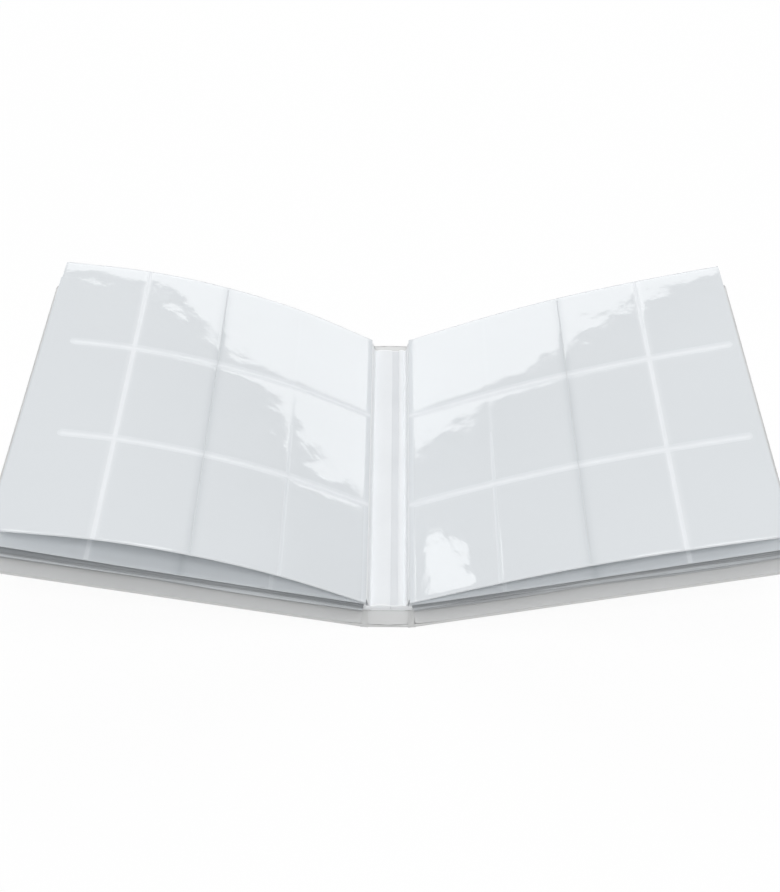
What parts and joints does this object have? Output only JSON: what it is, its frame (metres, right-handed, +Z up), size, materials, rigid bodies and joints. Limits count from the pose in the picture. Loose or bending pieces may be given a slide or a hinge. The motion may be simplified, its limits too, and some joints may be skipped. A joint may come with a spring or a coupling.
{
  "type": "trading card album",
  "caption": "Side-loading trading card album standing open on its spine, with pocket leaves that fan over two hinged covers.",
  "frame": {"origin": "middle of the underside of the spine, on the surface the album stands on", "axes": "+X from the spine towards the right cover, +Y from the front edge to the rear edge along the spine, +Z up"},
  "size_m": [0.5932, 0.302, 0.1118],
  "materials": {
    "cover_skin": "satin",
    "grey_board": "matte",
    "cover_lining": "matte",
    "welded_margin": "satin",
    "leaf_core": "matte",
    "pocket_film": "gloss"
  },
  "bodies": {
    "spine": {"spine_skin": "cover_skin", "spine_board": "grey_board", "spine_lining": "cover_lining", "binding_strip": "welded_margin", "left_cover_crease": "cover_skin", "left_margin_stack": "welded_margin", "left_gutter_band": "welded_margin", "right_cover_crease": "cover_skin", "right_margin_stack": "welded_margin", "right_gutter_band": "welded_margin"},
    "left_cover": {"left_cover_skin": "cover_skin", "left_cover_board": "grey_board", "left_cover_lining": "cover_lining"},
    "left_leaf_10": {"left_leaf_10_core": "leaf_core", "left_leaf_10_pockets": "pocket_film"},
    "left_leaf_09": {"left_leaf_09_core": "leaf_core", "left_leaf_09_pockets": "pocket_film"},
    "left_leaf_08": {"left_leaf_08_core": "leaf_core", "left_leaf_08_pockets": "pocket_film"},
    "left_leaf_07": {"left_leaf_07_core": "leaf_core", "left_leaf_07_pockets": "pocket_film"},
    "left_leaf_06": {"left_leaf_06_core": "leaf_core", "left_leaf_06_pockets": "pocket_film"},
    "left_leaf_05": {"left_leaf_05_core": "leaf_core", "left_leaf_05_pockets": "pocket_film"},
    "left_leaf_04": {"left_leaf_04_core": "leaf_core", "left_leaf_04_pockets": "pocket_film"},
    "left_leaf_03": {"left_leaf_03_core": "leaf_core", "left_leaf_03_pockets": "pocket_film"},
    "left_leaf_02": {"left_leaf_02_core": "leaf_core", "left_leaf_02_pockets": "pocket_film"},
    "left_leaf_01": {"left_leaf_01_core": "leaf_core", "left_leaf_01_front_pockets": "pocket_film", "left_leaf_01_back_pockets": "pocket_film"},
    "right_cover": {"right_cover_skin": "cover_skin", "right_cover_board": "grey_board", "right_cover_lining": "cover_lining"},
    "right_leaf_10": {"right_leaf_10_core": "leaf_core", "right_leaf_10_pockets": "pocket_film"},
    "right_leaf_09": {"right_leaf_09_core": "leaf_core", "right_leaf_09_pockets": "pocket_film"},
    "right_leaf_08": {"right_leaf_08_core": "leaf_core", "right_leaf_08_pockets": "pocket_film"},
    "right_leaf_07": {"right_leaf_07_core": "leaf_core", "right_leaf_07_pockets": "pocket_film"},
    "right_leaf_06": {"right_leaf_06_core": "leaf_core", "right_leaf_06_pockets": "pocket_film"},
    "right_leaf_05": {"right_leaf_05_core": "leaf_core", "right_leaf_05_pockets": "pocket_film"},
    "right_leaf_04": {"right_leaf_04_core": "leaf_core", "right_leaf_04_pockets": "pocket_film"},
    "right_leaf_03": {"right_leaf_03_core": "leaf_core", "right_leaf_03_pockets": "pocket_film"},
    "right_leaf_02": {"right_leaf_02_core": "leaf_core", "right_leaf_02_pockets": "pocket_film"},
    "right_leaf_01": {"right_leaf_01_core": "leaf_core", "right_leaf_01_front_pockets": "pocket_film", "right_leaf_01_back_pockets": "pocket_film"}
  },
  "joints": [
    {"name": "left_cover_hinge", "type": "hinge", "parent": "spine", "child": "left_cover", "pos_m": [-0.018, 0, 0.0016], "axis": [0, 1, 0], "range_deg": [-15, 75], "deforming": ["left_cover_crease", "left_margin_stack", "left_gutter_band"]},
    {"name": "right_cover_hinge", "type": "hinge", "parent": "spine", "child": "right_cover", "pos_m": [0.018, 0, 0.0016], "axis": [0, 1, 0], "range_deg": [-73.5, 16.5], "deforming": ["right_cover_crease", "right_margin_stack", "right_gutter_band"]},
    {"name": "left_leaf_10_turn", "type": "hinge", "parent": "left_cover", "child": "left_leaf_10", "pos_m": [-0.02074, 0, 0.00528], "axis": [0, -1, 0], "range_deg": [-3, 0]},
    {"name": "left_leaf_09_turn", "type": "hinge", "parent": "left_leaf_10", "child": "left_leaf_09", "pos_m": [-0.0204, 0, 0.00654], "axis": [0, -1, 0], "range_deg": [-3, 0]},
    {"name": "left_leaf_08_turn", "type": "hinge", "parent": "left_leaf_09", "child": "left_leaf_08", "pos_m": [-0.02007, 0, 0.0078], "axis": [0, -1, 0], "range_deg": [-3, 0]},
    {"name": "left_leaf_07_turn", "type": "hinge", "parent": "left_leaf_08", "child": "left_leaf_07", "pos_m": [-0.01973, 0, 0.00905], "axis": [0, -1, 0], "range_deg": [-3, 0]},
    {"name": "left_leaf_06_turn", "type": "hinge", "parent": "left_leaf_07", "child": "left_leaf_06", "pos_m": [-0.01939, 0, 0.01031], "axis": [0, -1, 0], "range_deg": [-3, 0]},
    {"name": "left_leaf_05_turn", "type": "hinge", "parent": "left_leaf_06", "child": "left_leaf_05", "pos_m": [-0.01906, 0, 0.01156], "axis": [0, -1, 0], "range_deg": [-3, 0]},
    {"name": "left_leaf_04_turn", "type": "hinge", "parent": "left_leaf_05", "child": "left_leaf_04", "pos_m": [-0.01872, 0, 0.01282], "axis": [0, -1, 0], "range_deg": [-3, 0]},
    {"name": "left_leaf_03_turn", "type": "hinge", "parent": "left_leaf_04", "child": "left_leaf_03", "pos_m": [-0.01838, 0, 0.01408], "axis": [0, -1, 0], "range_deg": [-3, 0]},
    {"name": "left_leaf_02_turn", "type": "hinge", "parent": "left_leaf_03", "child": "left_leaf_02", "pos_m": [-0.01761, 0, 0.01697], "axis": [0, -1, 0], "range_deg": [-8, 0]},
    {"name": "left_leaf_01_turn", "type": "hinge", "parent": "left_leaf_02", "child": "left_leaf_01", "pos_m": [-0.01688, 0, 0.01968], "axis": [0, -1, 0], "range_deg": [-40, 0]},
    {"name": "right_leaf_10_turn", "type": "hinge", "parent": "right_cover", "child": "right_leaf_10", "pos_m": [0.02064, 0, 0.00536], "axis": [0, -1, 0], "range_deg": [0, 3]},
    {"name": "right_leaf_09_turn", "type": "hinge", "parent": "right_leaf_10", "child": "right_leaf_09", "pos_m": [0.02027, 0, 0.0066], "axis": [0, -1, 0], "range_deg": [0, 3]},
    {"name": "right_leaf_08_turn", "type": "hinge", "parent": "right_leaf_09", "child": "right_leaf_08", "pos_m": [0.0199, 0, 0.00785], "axis": [0, -1, 0], "range_deg": [0, 3]},
    {"name": "right_leaf_07_turn", "type": "hinge", "parent": "right_leaf_08", "child": "right_leaf_07", "pos_m": [0.01954, 0, 0.00909], "axis": [0, -1, 0], "range_deg": [0, 3]},
    {"name": "right_leaf_06_turn", "type": "hinge", "parent": "right_leaf_07", "child": "right_leaf_06", "pos_m": [0.01917, 0, 0.01034], "axis": [0, -1, 0], "range_deg": [0, 3]},
    {"name": "right_leaf_05_turn", "type": "hinge", "parent": "right_leaf_06", "child": "right_leaf_05", "pos_m": [0.0188, 0, 0.01159], "axis": [0, -1, 0], "range_deg": [0, 3]},
    {"name": "right_leaf_04_turn", "type": "hinge", "parent": "right_leaf_05", "child": "right_leaf_04", "pos_m": [0.01843, 0, 0.01283], "axis": [0, -1, 0], "range_deg": [0, 3]},
    {"name": "right_leaf_03_turn", "type": "hinge", "parent": "right_leaf_04", "child": "right_leaf_03", "pos_m": [0.01806, 0, 0.01408], "axis": [0, -1, 0], "range_deg": [0, 3]},
    {"name": "right_leaf_02_turn", "type": "hinge", "parent": "right_leaf_03", "child": "right_leaf_02", "pos_m": [0.01721, 0, 0.01696], "axis": [0, -1, 0], "range_deg": [0, 8]},
    {"name": "right_leaf_01_turn", "type": "hinge", "parent": "right_leaf_02", "child": "right_leaf_01", "pos_m": [0.01641, 0, 0.01964], "axis": [0, -1, 0], "range_deg": [0, 40]}
  ]
}
